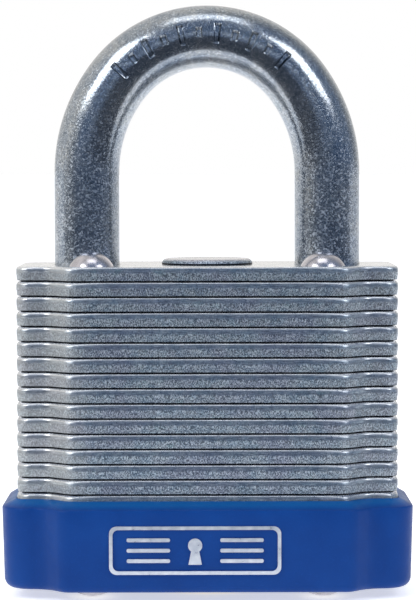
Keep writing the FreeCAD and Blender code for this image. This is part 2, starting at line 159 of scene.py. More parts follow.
def rounded_outline(corners, arc_steps, spacing):
    """Points and outward normals round a closed outline of (x, y, radius) corners."""
    points = [Vector((x, y)) for x, y, _ in corners]
    outline = []
    for i, (_, _, radius) in enumerate(corners):
        here = points[i]
        back = (points[i - 1] - here).normalized()
        ahead = (points[(i + 1) % len(points)] - here).normalized()
        half_turn = back.angle(ahead) / 2
        centre = here + (back + ahead).normalized() * (radius / math.sin(half_turn))
        reach = radius / math.tan(half_turn)
        start = here + back * reach - centre
        end = here + ahead * reach - centre
        sweep = start.angle_signed(end)
        for step in range(arc_steps + 1):
            turn = Matrix.Rotation(-sweep * step / arc_steps, 2)
            outline.append(centre + turn @ start)
    dense = []
    for i, point in enumerate(outline):
        after = outline[(i + 1) % len(outline)]
        count = max(1, round((after - point).length / spacing))
        dense += [point.lerp(after, k / count) for k in range(count)]
    normals = []
    for i in range(len(dense)):
        along = (dense[(i + 1) % len(dense)] - dense[i - 1]).normalized()
        normals.append(Vector((along.y, -along.x)))
    return dense, normals


def stepped_outline(grow, corner_radius, ease_radius, arc_steps=8, spacing=0.55 * MM):
    """The body's plan, anticlockwise, `grow` outside the plates."""
    shift = grow * math.tan(math.radians(22.5))
    side = BODY_HALF.x + grow
    face = BODY_HALF.y + grow
    shoulder = face - SHOULDER_SETBACK
    quarter = [
        (side, shoulder, corner_radius),
        (SHOULDER_HALF + shift, shoulder, ease_radius),
        (FRONT_FLAT_HALF + shift, face, ease_radius),
    ]
    back = quarter + [(-x, y, r) for x, y, r in reversed(quarter)]
    front = [(-x, -y, r) for x, y, r in back]
    return rounded_outline(back + front, arc_steps, spacing)


def lofted_mesh(name, rings):
    """A closed mesh through rings of equally many points, with its two ends filled."""
    work = bmesh.new()
    loops = [[work.verts.new(p) for p in ring] for ring in rings]
    for low, high in zip(loops, loops[1:]):
        for i in range(len(low)):
            j = (i + 1) % len(low)
            work.faces.new((low[i], low[j], high[j], high[i]))
    work.faces.new(list(reversed(loops[0])))
    work.faces.new(loops[-1])
    bmesh.ops.recalc_face_normals(work, faces=work.faces)
    mesh = bpy.data.meshes.new(name)
    work.to_mesh(mesh)
    work.free()
    return mesh


def revolved_mesh(name, profile, steps, place):
    """A closed solid of revolution about Z through (radius, z) points, moved by `place`."""
    rings = []
    for radius, z in profile:
        angles = [2 * math.pi * k / steps for k in range(steps)]
        rings.append([place @ Vector((radius * math.cos(a), radius * math.sin(a), z)) for a in angles])
    return lofted_mesh(name, rings)


def joined_mesh(name, meshes):
    """One mesh that holds all the given ones."""
    work = bmesh.new()
    for mesh in meshes:
        work.from_mesh(mesh)
    joined = bpy.data.meshes.new(name)
    work.to_mesh(joined)
    work.free()
    return joined


def operand(name, mesh):
    """A helper object that a boolean can use."""
    helper = bpy.data.objects.new(name, mesh)
    bpy.context.scene.collection.objects.link(helper)
    return helper


def welded_copy(node):
    """The CAD node's mesh, copied with its seams closed."""
    work = bmesh.new()
    work.from_mesh(frame["nodes"][node].data)
    bmesh.ops.remove_doubles(work, verts=work.verts, dist=1e-7)
    mesh = bpy.data.meshes.new(node + "_copy")
    work.to_mesh(mesh)
    work.free()
    return mesh


def boolean_mesh(mesh, operation, tools):
    """The mesh after an exact boolean with each tool mesh in turn."""
    base = operand("boolean_base", mesh)
    helpers = [operand("boolean_tool", tool) for tool in tools]
    for helper in helpers:
        modifier = base.modifiers.new("cut", "BOOLEAN")
        modifier.operation = operation
        modifier.solver = "EXACT"
        modifier.object = helper
    graph = bpy.context.evaluated_depsgraph_get()
    result = bpy.data.meshes.new_from_object(base.evaluated_get(graph))
    for helper in helpers + [base]:
        bpy.data.objects.remove(helper)
    return result


def smooth_by_angle(mesh, degrees):
    """Smooth shading, with edges sharper than the angle kept crisp."""
    work = bmesh.new()
    work.from_mesh(mesh)
    for face in work.faces:
        face.smooth = True
    for edge in work.edges:
        edge.smooth = edge.calc_face_angle(math.pi) < math.radians(degrees)
    work.to_mesh(mesh)
    work.free()
    return mesh


def prism_mesh(name, points, half_length):
    """A prism along Y, from -half_length to half_length, with a profile of (x, z) points."""
    return lofted_mesh(name, [[Vector((x, y, z)) for x, z in points] for y in (-half_length, half_length)])


def collar_mesh(name, inner, outer, low, high, x):
    """A square-edged ring about a vertical axis at x."""
    steps = 64
    corners = [(inner, low), (outer, low), (outer, high), (inner, high)]
    work = bmesh.new()
    loops = []
    for radius, z in corners:
        angles = [2 * math.pi * k / steps for k in range(steps)]
        loops.append([work.verts.new((x + radius * math.cos(a), radius * math.sin(a), z)) for a in angles])
    for here, after in zip(loops, loops[1:] + loops[:1]):
        for i in range(steps):
            j = (i + 1) % steps
            work.faces.new((here[i], here[j], after[j], after[i]))
    bmesh.ops.recalc_face_normals(work, faces=work.faces)
    mesh = bpy.data.meshes.new(name)
    work.to_mesh(mesh)
    work.free()
    return mesh


def joint(name):
    return next(j for j in frame["joints"] if j["name"] == name)


def eased(distance, ease):
    """1 where distance is well below 0, 0 above it, with a soft step `ease` wide."""
    share = min(max(0.5 - distance / ease, 0.0), 1.0)
    return share * share * (3 - 2 * share)


# Materials ------------------------------------------------------------------------------

class Surface:
    """A material under construction: a Principled shader with short calls for its nodes."""

    def __init__(self, name, metallic, roughness):
        self.material = bpy.data.materials.new(name)
        self.material.use_nodes = True
        self.tree = self.material.node_tree
        self.shader = self.tree.nodes["Principled BSDF"]
        self.shader.inputs["Metallic"].default_value = metallic
        self.shader.inputs["Roughness"].default_value = roughness
        self.place = self.tree.nodes.new("ShaderNodeTexCoord").outputs["Object"]

    def link(self, source, target):
        self.tree.links.new(source, target)

    def stretched(self, scale):
        """Object coordinates scaled by (x, y, z)."""
        node = self.tree.nodes.new("ShaderNodeVectorMath")
        node.operation = "MULTIPLY"
        node.inputs[1].default_value = scale
        self.link(self.place, node.inputs[0])
        return node.outputs[0]

    def noise(self, size, detail=2.0, stretch=(1, 1, 1), roughness=0.5):
        """Noise whose features are about `size` metres across."""
        node = self.tree.nodes.new("ShaderNodeTexNoise")
        node.inputs["Scale"].default_value = 1.0
        node.inputs["Detail"].default_value = detail
        node.inputs["Roughness"].default_value = roughness
        self.link(self.stretched([s / size for s in stretch]), node.inputs["Vector"])
        return node.outputs["Fac"]

    def cells(self, size, stretch=(1, 1, 1)):
        """A random value for each cell of about `size` metres."""
        node = self.tree.nodes.new("ShaderNodeTexVoronoi")
        node.inputs["Scale"].default_value = 1.0
        self.link(self.stretched([s / size for s in stretch]), node.inputs["Vector"])
        split = self.tree.nodes.new("ShaderNodeSeparateColor")
        self.link(node.outputs["Color"], split.inputs["Color"])
        return split.outputs["Red"]

    def math(self, operation, first, second=0.0):
        node = self.tree.nodes.new("ShaderNodeMath")
        node.operation = operation
        for socket, value in zip(node.inputs, (first, second)):
            if isinstance(value, (int, float)):
                socket.default_value = value
            else:
                self.link(value, socket)
        return node.outputs[0]

    def between(self, value, low, high, to_low=0.0, to_high=1.0):
        """The value mapped from low..high to to_low..to_high, and held at the ends."""
        node = self.tree.nodes.new("ShaderNodeMapRange")
        self.link(value, node.inputs["Value"])
        for name, number in zip(("From Min", "From Max", "To Min", "To Max"), (low, high, to_low, to_high)):
            node.inputs[name].default_value = number
        return node.outputs["Result"]

    def ramp(self, value, stops):
        """A colour for the value, through (position, (r, g, b)) stops."""
        node = self.tree.nodes.new("ShaderNodeValToRGB")
        ramp = node.color_ramp
        while len(ramp.elements) < len(stops):
            ramp.elements.new(0.5)
        for element, (position, colour) in zip(ramp.elements, stops):
            element.position = position
            element.color = (*colour, 1.0)
        self.link(value, node.inputs["Fac"])
        return node.outputs["Color"]

    def mix(self, factor, first, second, blend="MIX"):
        """Two colours mixed by a factor. A colour is a socket or an (r, g, b) tuple."""
        node = self.tree.nodes.new("ShaderNodeMix")
        node.data_type = "RGBA"
        node.blend_type = blend
        for socket, value in ((node.inputs[0], factor), (node.inputs[6], first), (node.inputs[7], second)):
            if isinstance(value, tuple):
                socket.default_value = (*value, 1.0)
            elif isinstance(value, (int, float)):
                socket.default_value = value
            else:
                self.link(value, socket)
        return node.outputs[2]

    def axis(self, source, name):
        node = self.tree.nodes.new("ShaderNodeSeparateXYZ")
        self.link(source, node.inputs[0])
        return node.outputs[name]

    def facing_up(self):
        """The upward part of the surface's own direction."""
        return self.axis(self.tree.nodes.new("ShaderNodeNewGeometry").outputs["True Normal"], "Z")

    def colour(self, source):
        self.link(source, self.shader.inputs["Base Color"])

    def roughness(self, source):
        self.link(source, self.shader.inputs["Roughness"])

    def bumps(self, *layers):
        """Relief from (height socket, depth in metres) layers, one over the other."""
        below = None
        for height, depth in layers:
            node = self.tree.nodes.new("ShaderNodeBump")
            node.inputs["Strength"].default_value = 1.0
            node.inputs["Distance"].default_value = depth
            self.link(height, node.inputs["Height"])
            if below:
                self.link(below, node.inputs["Normal"])
            below = node.outputs["Normal"]
        self.link(below, self.shader.inputs["Normal"])


def plate_steel():
    """Zinc-plated sheet: painted shade in the gap below, a grained break, a burnished band, a roll with painted
    highlights and shade, and painted light on the shoulders and on faces that look up.
    """
    s = Surface("plate_steel", 0.92, 0.4)
    height = s.axis(s.place, "Z")
    layer = s.math("FRACT", s.math("DIVIDE", s.math("SUBTRACT", height, STACK_BASE), PLATE_PITCH))
    wander = s.math("MULTIPLY", s.math("SUBTRACT", s.noise(0.9 * MM, 3, (1, 1, 0.2)), 0.5), 0.30)
    wavy = s.math("ADD", layer, wander)
    upward = s.math("ABSOLUTE", s.facing_up())
    side = s.between(upward, 0.5, 0.9, 1.0, 0.0)
    broken = s.math("MULTIPLY", s.between(wavy, 0.60, 0.70, 1.0, 0.0), side)
    cloud = s.noise(1.7 * MM, 6, (1, 1, 1.6), 0.62)
    speck = s.cells(0.16 * MM, (1, 1, 0.7))
    grain = s.noise(0.12 * MM, 3, (1, 1, 0.6), 0.7)
    plated = s.ramp(cloud, [
        (0.32, (0.215, 0.302, 0.387)),
        (0.46, (0.325, 0.414, 0.487)),
        (0.56, (0.422, 0.484, 0.542)),
        (0.70, (0.272, 0.388, 0.432)),
    ])
    tinted = s.mix(s.between(s.noise(4 * MM, 2), 0.45, 0.65, 0.0, 0.6), plated, (0.300, 0.315, 0.420))
    sparkled = s.mix(s.between(speck, 0.70, 1.0, 0.0, 0.5), tinted, (0.60, 0.65, 0.70))
    pitted = s.mix(s.between(grain, 0.47, 0.55, 0.0, 0.85), sparkled, (0.050, 0.065, 0.090))
    lit = s.mix(s.between(grain, 0.43, 0.36, 0.0, 0.75), pitted, (0.68, 0.75, 0.80))
    streaks = s.noise(0.12 * MM, 3, (0.12, 0.12, 1), 0.6)
    burnished = s.mix(s.between(streaks, 0.46, 0.60, 0.0, 0.60), sparkled, (0.110, 0.140, 0.190))
    dotted = s.mix(s.between(grain, 0.52, 0.60, 0.0, 0.5), burnished, (0.080, 0.100, 0.140))
    banded = s.mix(broken, dotted, lit)
    border = s.math("MULTIPLY", s.between(wavy, 0.58, 0.63), s.between(wavy, 0.72, 0.67))
    scored = s.mix(s.math("MULTIPLY", border, 0.45), banded, (0.090, 0.115, 0.160))
    across = s.math("ABSOLUTE", s.axis(s.place, "X"))
    left = s.between(s.axis(s.place, "X"), 0.0, 1 * MM, 0.42, 0.15)
    # painted highlight and shade on the rolled top edge: near white towards the ends of the front and back faces,
    # dark along their middle
    corner = s.between(across, 12.5 * MM, 16.5 * MM)
    rolled = s.math("MULTIPLY", s.between(layer, 0.80, 0.90), side)
    painted_roll_light = s.mix(corner, (0.190, 0.215, 0.250), (0.86, 0.86, 0.86))
    # painted light: from the ends of the front and back faces outward, the plate edges are painted pale beige,
    # more strongly on the left half, as if lit from the left
    shoulder = s.math("MULTIPLY", s.between(across, 13.8 * MM, 17.2 * MM), side)
    painted_shoulder_light = s.mix(s.math("MULTIPLY", shoulder, left), scored, (0.56, 0.55, 0.52))
    edged = s.mix(s.math("MULTIPLY", rolled, 0.8), painted_shoulder_light, painted_roll_light)
    # painted shade: the undercut at the foot of each plate edge is painted near black
    gap = s.math("MULTIPLY", s.between(layer, 0.118, 0.095), side)
    painted_gap_shade = s.mix(gap, edged, (0.006, 0.008, 0.012))
    # painted light: faces that look up are painted far paler than the plate edges, for the light that falls on
    # them from above, and the boss is painted darker than the flat sheet around it
    sheet = s.mix(s.between(cloud, 0.35, 0.65), (0.64, 0.66, 0.69), (0.82, 0.83, 0.85))
    domed = s.between(height, STACK_TOP + 0.1 * MM, STACK_TOP + 0.5 * MM)
    painted_top_light = s.mix(s.math("MULTIPLY", domed, 0.6), sheet, (0.47, 0.46, 0.50))
    s.colour(s.mix(side, painted_top_light, painted_gap_shade))
    calm = s.between(s.noise(0.5 * MM, 4), 0.3, 0.7, 0.27, 0.41)
    edge_dullness = s.math("ADD", calm, s.math("MULTIPLY", broken, 0.10))
    s.roughness(s.math("SUBTRACT", edge_dullness, s.between(side, 1.0, 0.0, 0.0, 0.17)))
    relief = s.math("MULTIPLY", grain, s.math("ADD", s.math("MULTIPLY", broken, 0.85), 0.15))
    s.bumps((s.noise(0.7 * MM, 4), 0.018 * MM), (relief, 0.08 * MM), (speck, 0.004 * MM))
    return s.material


def shackle_steel():
    """Plated rod: fine matt and bright crystals over soft darker and greenish clouds."""
    s = Surface("shackle_steel", 1.0, 0.25)
    clouds = s.noise(2.6 * MM, 5, (1, 1, 0.6), 0.6)
    base = s.ramp(clouds, [
        (0.32, (0.240, 0.280, 0.330)),
        (0.46, (0.310, 0.345, 0.385)),
        (0.58, (0.385, 0.405, 0.420)),
        (0.72, (0.275, 0.325, 0.360)),
    ])
    crystal = s.cells(0.17 * MM)
    fine = s.cells(0.14 * MM)
    contrast = s.between(s.axis(s.place, "Z"), SPRING_LINE, SPRING_LINE + 14 * MM, 0.85, 0.40)
    light = s.math("MULTIPLY", s.between(crystal, 0.60, 1.0), contrast)
    dark = s.math("MULTIPLY", s.between(fine, 0.45, 0.02), contrast)
    bright = s.mix(light, base, (0.72, 0.77, 0.84))
    s.colour(s.mix(dark, bright, (0.085, 0.115, 0.165)))
    matt = s.between(s.math("MULTIPLY", crystal, contrast), 0.47, 0.85, 0.16, 0.46)
    s.roughness(s.math("ADD", matt, s.between(clouds, 0.3, 0.7, 0.0, 0.06)))
    s.bumps((s.noise(0.5 * MM, 4), 0.012 * MM), (fine, 0.006 * MM))
    return s.material


def polished_steel(name, colour, roughness):
    """Bright turned or drawn steel with hairline scratches and a slight haze."""
    s = Surface(name, 1.0, roughness)
    haze = s.noise(1.1 * MM, 4)
    scratch = s.noise(0.08 * MM, 2, (1, 0.12, 0.5))
    dull = tuple(c * 0.72 for c in colour)
    s.colour(s.mix(s.between(haze, 0.35, 0.70), colour, dull))
    s.roughness(s.between(haze, 0.3, 0.7, roughness * 0.8, roughness * 1.5))
    s.bumps((haze, 0.006 * MM), (scratch, 0.0025 * MM))
    return s.material


def stamped_steel():
    """Plain hardened strip for the bolts and cam, with grinding marks."""
    s = Surface("bolt_steel", 1.0, 0.35)
    grind = s.noise(0.12 * MM, 3, (0.08, 1, 1))
    stain = s.noise(2.4 * MM, 4)
    base = s.mix(s.between(stain, 0.4, 0.7), (0.42, 0.42, 0.44), (0.25, 0.24, 0.25))
    s.colour(s.mix(s.between(grind, 0.5, 0.7, 0.0, 0.4), base, (0.62, 0.62, 0.64)))
    s.roughness(s.between(grind, 0.3, 0.7, 0.28, 0.46))
    s.bumps((grind, 0.008 * MM))
    return s.material


def turned_brass(name, colour, stretch):
    """Machined brass with tool lines along `stretch` and a light tarnish."""
    s = Surface(name, 1.0, 0.3)
    lines = s.noise(0.09 * MM, 2, stretch)
    tarnish = s.noise(1.7 * MM, 5)
    dark = tuple(c * 0.55 for c in colour)
    s.colour(s.mix(s.between(tarnish, 0.45, 0.75, 0.0, 0.7), colour, dark))
    s.roughness(s.between(tarnish, 0.3, 0.7, 0.22, 0.42))
    s.bumps((lines, 0.006 * MM), (tarnish, 0.004 * MM))
    return s.material


def bumper_plastic():
    """Royal blue moulded plastic with a fine eroded texture and a painted sheen: the top of the lip is painted a
    paler blue.
    """
    s = Surface("bumper_plastic", 0.0, 0.38)
    s.shader.inputs["Specular IOR Level"].default_value = 0.14
    cloud = s.noise(6 * MM, 4)
    base = s.ramp(cloud, [
        (0.30, (0.0010, 0.0370, 0.1980)),
        (0.55, (0.0015, 0.0430, 0.2200)),
        (0.75, (0.0020, 0.0500, 0.2420)),
    ])
    fleck = s.noise(0.22 * MM, 3)
    flecked = s.mix(s.between(fleck, 0.55, 0.80, 0.0, 0.25), base, (0.006, 0.075, 0.33))
    # painted sheen: the top of the lip is painted a paler blue
    lip = s.between(s.axis(s.place, "Z"), BUMPER_HIGH.z - 0.9 * MM, BUMPER_HIGH.z - 0.4 * MM)
    s.colour(s.mix(s.math("MULTIPLY", lip, 0.65), flecked, (0.001, 0.110, 0.340)))
    s.roughness(s.between(s.noise(0.8 * MM, 4), 0.3, 0.7, 0.30, 0.46))
    s.bumps((s.noise(2.5 * MM, 2), 0.02 * MM), (fleck, 0.010 * MM))
    return s.material


def badge_silver():
    """Satin foil, slightly uneven where it was pressed into the plastic."""
    s = Surface("badge_metal", 0.85, 0.32)
    haze = s.noise(0.9 * MM, 4)
    grain = s.noise(0.10 * MM, 2, (0.2, 1, 1))
    s.colour(s.ramp(haze, [
        (0.3, (0.56, 0.60, 0.68)),
        (0.6, (0.70, 0.73, 0.78)),
        (0.8, (0.82, 0.84, 0.87)),
    ]))
    s.roughness(s.between(haze, 0.3, 0.7, 0.26, 0.42))
    s.bumps((grain, 0.004 * MM))
    return s.material


MATERIALS = {
    "plate_steel": plate_steel(),
    "shackle_steel": shackle_steel(),
    "rivet_steel": polished_steel("rivet_steel", (0.61, 0.59, 0.63), 0.20),
    "pin_steel": polished_steel("pin_steel", (0.74, 0.75, 0.77), 0.24),
    "spring_steel": polished_steel("spring_steel", (0.56, 0.57, 0.60), 0.20),
    "bolt_steel": stamped_steel(),
    "bumper_plastic": bumper_plastic(),
    "badge_metal": badge_silver(),
    "plug_brass": turned_brass("plug_brass", (0.72, 0.53, 0.24), (0.1, 0.1, 1)),
    "housing_brass": turned_brass("housing_brass", (0.62, 0.46, 0.21), (0.1, 0.1, 1)),
    "pin_brass": turned_brass("pin_brass", (0.78, 0.59, 0.27), (1, 0.1, 0.1)),
}


def paint_cad_nodes():
    """Gives each CAD node that stays the material of its slot."""
    for part in frame["record"]["subparts"]:
        node = frame["nodes"][part["node"]]
        node.data.materials.clear()
        node.data.materials.append(MATERIALS[part["material_slot"]])


# Finished pieces ------------------------------------------------------------------------

def plate_steps(roll):
    """(inset, height, roughness depth) up a plate's edge, for one rollover radius."""
    steps = [(UNDERCUT_DEPTH, 0.4 * FIT, 0.0), (UNDERCUT_DEPTH, 0.4 * UNDERCUT_HEIGHT, 0.0)]
    steps.append((BREAK_TAPER + EDGE_STEP, UNDERCUT_HEIGHT, 0.0))
    for share in (0.2, 0.35, 0.5, 0.65, 0.8, 0.93):
        inset = BREAK_TAPER * (1 - share) + 1.6 * FIT
        steps.append((inset, share * BREAK_HEIGHT, BREAK_ROUGHNESS))
    steps.append((1.2 * FIT, BREAK_HEIGHT + EDGE_STEP, BAND_ROUGHNESS))
    top = PLATE_PITCH - 0.4 * FIT
    for turn in range(7):
        angle = math.radians(90 * turn / 6)
        inset = FIT + roll * (1 - math.cos(angle))
        steps.append((inset, top - roll + roll * math.sin(angle), ROLL_ROUGHNESS))
    return steps


def outward_corners():
    """Where the plan turns outward: the ends of the front and back faces and the shoulders."""
    corners = [(FRONT_FLAT_HALF, BODY_HALF.y), (BODY_HALF.x, BODY_HALF.y - SHOULDER_SETBACK)]
    return [Vector((sx * x, sy * y)) for x, y in corners for sx in (-1, 1) for sy in (-1, 1)]


def boss_mesh():
    """The round boss on the top plate: steep sides, a soft shoulder and a slightly dished top."""
    rise = BOSS_TOP - STACK_TOP
    side = BOSS_RADIUS - 2 * FIT
    face = BOSS_TOP - 2 * FIT
    profile = [(side, STACK_TOP - 0.3 * MM), (side, STACK_TOP)]
    for turn in range(9):
        angle = math.radians(90 * turn / 8)
        radius = side - BOSS_SHOULDER * (1 - math.cos(angle))
        profile.append((radius, face - BOSS_SHOULDER * (1 - math.sin(angle))))
    for share in (0.85, 0.7, 0.5, 0.3, 0.1):
        dish = 0.22 * rise * (1 - share) ** 0.7
        profile.append((share * (BOSS_RADIUS - BOSS_SHOULDER), face - dish))
    return revolved_mesh("boss", profile, 96, Matrix.Identity(4))


def finished_plate(node, index):
    """A stamped plate with a dense, slightly uneven edge, and the CAD node's own holes."""
    points, normals = stepped_outline(0, SIDE_CORNER_RADIUS, EASE_RADIUS)
    base = STACK_BASE + index * PLATE_PITCH
    corners = outward_corners()
    columns = []
    for point, normal in zip(points, normals):
        near = min((point - corner).length for corner in corners) / CORNER_REACH
        drift = noise.noise(Vector((point.x / DRIFT_SIZE, point.y / DRIFT_SIZE, index * 3.7)))
        roll = ROLLOVER_RADIUS + CORNER_ROLLOVER * math.exp(-near * near) + ROLL_DRIFT * drift
        column = []
        for inset, height, depth in plate_steps(roll):
            sample = Vector((point.x, point.y, (base + height) * 0.4)) / ROUGHNESS_SIZE
            rough = 0.5 + 0.5 * noise.noise(sample)
            place = point - normal * (inset + depth * rough)
            column.append(Vector((place.x, place.y, base + height)))
        columns.append(column)
    skin = lofted_mesh(node + "_skin", list(zip(*columns)))
    if node == PLATES[-1]:
        skin = boolean_mesh(skin, "UNION", [boss_mesh()])
    mesh = boolean_mesh(skin, "INTERSECT", [welded_copy(node)])
    piece = new_piece(node + "_finished", smooth_by_angle(mesh, 38), "lock_body",
                      MATERIALS["plate_steel"])
    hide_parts(node)


def bumper_steps(x):
    """(inset, height) up the bumper's outside at x: rounded foot, drafted face, sloping lip."""
    low = BUMPER_LOW.z + FIT
    face_top = BUMPER_HIGH.z - BUMPER_LIP_RISE - BUMPER_LIP_SET
    toward_end = 1 - eased(abs(x) - BUMPER_END_X, BUMPER_END_EASE)
    foot = BUMPER_FOOT_RADIUS + (BUMPER_END_FOOT_RADIUS - BUMPER_FOOT_RADIUS) * toward_end
    steps = []
    for turn in range(9):
        angle = math.radians(90 * turn / 8)
        inset = FIT + BUMPER_DRAFT + foot * (1 - math.sin(angle))
        steps.append((inset, low + foot * (1 - math.cos(angle))))
    for share in (0.25, 0.5, 0.75):
        height = low + foot + share * (face_top - BUMPER_LIP_EASE - low - foot)
        steps.append((FIT + BUMPER_DRAFT * (1 - share), height))
    slope = math.degrees(math.atan2(BUMPER_LIP_WIDTH, BUMPER_LIP_RISE))
    for turn in range(6):
        angle = math.radians(slope * turn / 5)
        inset = FIT + BUMPER_LIP_EASE * (1 - math.cos(angle))
        steps.append((inset, face_top - BUMPER_LIP_EASE + BUMPER_LIP_EASE * math.sin(angle)))
    steps.append((BUMPER_LIP_WIDTH, BUMPER_HIGH.z - 2 * FIT))
    return steps


def finished_bumper():
    """The moulded cup, with the CAD bumper's pocket, badge recess and fastener holes."""
    points, normals = stepped_outline(BUMPER_GROW, BUMPER_CORNER_RADIUS, BUMPER_EASE_RADIUS, 14)
    columns = []
    for point, normal in zip(points, normals):
        column = []
        for inset, height in bumper_steps(point.x):
            place = point - normal * inset
            column.append(Vector((place.x, place.y, height)))
        columns.append(column)
    skin = lofted_mesh("bumper_skin", list(zip(*columns)))
    mesh = boolean_mesh(skin, "INTERSECT", [welded_copy("bumper")])
    piece = new_piece("bumper_finished", smooth_by_angle(mesh, 32), "lock_body",
                      MATERIALS["bumper_plastic"])
    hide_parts("bumper")


def cap_profile(radius, height, seat, steps):
    """(radius, z) points of a spherical cap from its rim at `seat` to just short of its pole."""
    ball = (radius ** 2 + height ** 2) / (2 * abs(height))
    half = math.asin(min(radius / ball, 1.0))
    points = []
    for k in range(steps):
        angle = half * (1 - k / steps)
        rise = ball * (math.cos(angle) - math.cos(half))
        points.append((ball * math.sin(angle), seat + math.copysign(rise, height)))
    return points


def finished_rivets():
    """Four rivets: a shank through the whole stack with a domed head at each end."""
    meshes = []
    radius = RIVET_HEAD_RADIUS - FIT
    low_seat = BUMPER_LOW.z
    bottom = cap_profile(radius, -(low_seat - FIT), low_seat, 14)
    top = cap_profile(radius, RIVET_TOP - STACK_TOP - FIT, STACK_TOP, 18)
    shank = [(RIVET_SHANK_RADIUS, low_seat), (RIVET_SHANK_RADIUS, STACK_TOP)]
    profile = list(reversed(bottom)) + shank + top
    for x in (-RIVET_X, RIVET_X):
        for y in (-RIVET_Y, RIVET_Y):
            meshes.append(revolved_mesh("rivet", profile, 72, Matrix.Translation((x, y, 0))))
    mesh = smooth_by_angle(joined_mesh("rivets_finished", meshes), 50)
    piece = new_piece("rivets_finished", mesh, "lock_body", MATERIALS["rivet_steel"])
    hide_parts("rivets")


def finished_retaining_pin():
    """The heel leg's pin, with a rounded outer end and a chamfered inner end."""
    low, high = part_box("retaining_pin")
    radius = high.y - FIT
    length = high.x - low.x - FIT
    profile = [(radius * 0.02, 0.0), (radius - PIN_CHAMFER, 0.0)]
    profile += [(radius, PIN_CHAMFER), (radius, length - PIN_DOME)]
    for turn in range(1, 9):
        angle = math.radians(88 * turn / 8)
        profile.append((radius * math.cos(angle), length - PIN_DOME + PIN_DOME * math.sin(angle)))
    seat = Matrix.Translation((low.x, 0, (low.z + high.z) / 2))
    along_x = seat @ Matrix.Rotation(math.radians(90), 4, "Y")
    mesh = smooth_by_angle(revolved_mesh("retaining_pin_finished", profile, 48, along_x), 35)
    piece = new_piece("retaining_pin_finished", mesh, "lock_body", MATERIALS["pin_steel"])
    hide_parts("retaining_pin")


def mark_depth(along, across):
    """How deep the plain stamped bars are at a place on the front of the arch."""
    depth = 0.0
    for k in range(MARK_COUNT):
        centre = MARK_FIRST + (MARK_LAST - MARK_FIRST) * k / (MARK_COUNT - 1)
        reach = MARK_SHORT_HALF if k % 2 else MARK_HALF_LENGTH
        edge = max(abs(along - centre) - MARK_HALF_WIDTH, abs(across - MARK_OFFSET) - reach)
        depth = max(depth, eased(edge, MARK_EASE))
    return depth * MARK_DEPTH


def rod_ring(centre, outward, radial_radius, side_radius, along, steps):
    """One ring of the rod. `along` is the distance from the arch's middle, or None on a leg."""
    ring = []
    for k in range(steps):
        angle = 2 * math.pi * k / steps
        across = radial_radius * math.cos(angle)
        side = side_radius * math.sin(angle)
        if along is not None and side < 0:
            pressed = 1 - mark_depth(along, across) / side_radius
            across, side = across * pressed, side * pressed
        ring.append(centre + outward * across + Vector((0, side, 0)))
    return ring


def leg_rings(x, end, steps):
    """Rings up one leg, from its chamfered end to the start of the arch."""
    outward = Vector((math.copysign(1, x), 0, 0))
    radius = ROD_RADIUS - FIT
    end_radius = radius - LEG_CHAMFER
    rings = [rod_ring(Vector((x, 0, end)), outward, end_radius, end_radius, None, steps)]
    low = end + LEG_CHAMFER
    count = round((SPRING_LINE - low) / (0.9 * MM))
    for k in range(count):
        centre = Vector((x, 0, low + (SPRING_LINE - low) * k / count))
        rings.append(rod_ring(centre, outward, radius, radius, None, steps))
    return rings


def arch_rings(steps, count=340):
    """Rings round the bend, from the toe leg to the heel leg: wide haunches and a tighter crown."""
    inset = HAUNCH_RADIUS - LEG_X
    crown_centre = Vector((0, 0, SPRING_LINE + inset * math.tan(HAUNCH_TURN)))
    crown_radius = HAUNCH_RADIUS - inset / math.cos(HAUNCH_TURN)
    radius = ROD_RADIUS - FIT
    rings = []
    for k in range(count + 1):
        lean = math.pi * (k / count - 0.5)
        outward = Vector((math.sin(lean), 0, math.cos(lean)))
        if abs(lean) < math.pi / 2 - HAUNCH_TURN:
            centre = crown_centre + outward * crown_radius
        else:
            centre = Vector((-math.copysign(inset, lean), 0, SPRING_LINE)) + outward * HAUNCH_RADIUS
        flat = radius * (1 - ARCH_FLATTENING * math.cos(lean) ** 2)
        rings.append(rod_ring(centre, outward, flat, radius, lean * crown_radius, steps))
    return rings


def bolt_notch(bolt, leg_side):
    """The cut that a bolt's nose enters, with a ramp below it as steep as the unlocking motion."""
    low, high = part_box(bolt)
    ramp = joint("shackle_lift")["range_m"][1] / joint(bolt + "_slide")["range_m"][1]
    inner_face = LEG_X - ROD_RADIUS
    floor = inner_face + NOTCH_DEPTH
    mouth = inner_face - 0.5 * MM
    foot = low.z - NOTCH_PLAY
    top = high.z + NOTCH_PLAY
    profile = [(floor, foot), (floor, top), (mouth, top), (mouth, foot - ramp * (floor - mouth))]
    return prism_mesh("notch", [(leg_side * x, z) for x, z in profile], 1.2 * ROD_RADIUS)


def finished_shackle():
    """The bent rod, a little flattened in the bend, with its notches, neck and groove."""
    steps = 160
    rings = leg_rings(-LEG_X, TOE_END, steps) + arch_rings(steps)
    rings += reversed(leg_rings(LEG_X, SHACKLE_LOW.z, steps))
    pin_low, pin_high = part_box("retaining_pin")
    lift = joint("shackle_lift")["range_m"][1]
    neck = pin_low.z - RETAINER_PLAY - lift, pin_high.z + RETAINER_PLAY - lift
    waist = ROD_RADIUS - RETAINER_DEPTH
    flat = LEG_X + waist
    groove_top = pin_high.z + RETAINER_PLAY
    groove = [(flat, neck[0]), (flat + 2 * MM, neck[0]), (flat + 2 * MM, groove_top), (flat, groove_top)]
    tools = [
        bolt_notch("left_bolt", -1),
        bolt_notch("right_bolt", 1),
        collar_mesh("neck", waist, ROD_RADIUS + 1 * MM, *neck, LEG_X),
        prism_mesh("groove", groove, 1.2 * ROD_RADIUS),
    ]
    mesh = boolean_mesh(lofted_mesh("shackle_rod", rings), "DIFFERENCE", tools)
    piece = new_piece("shackle_finished", smooth_by_angle(mesh, 40), "shackle",
                      MATERIALS["shackle_steel"])
    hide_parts("shackle")


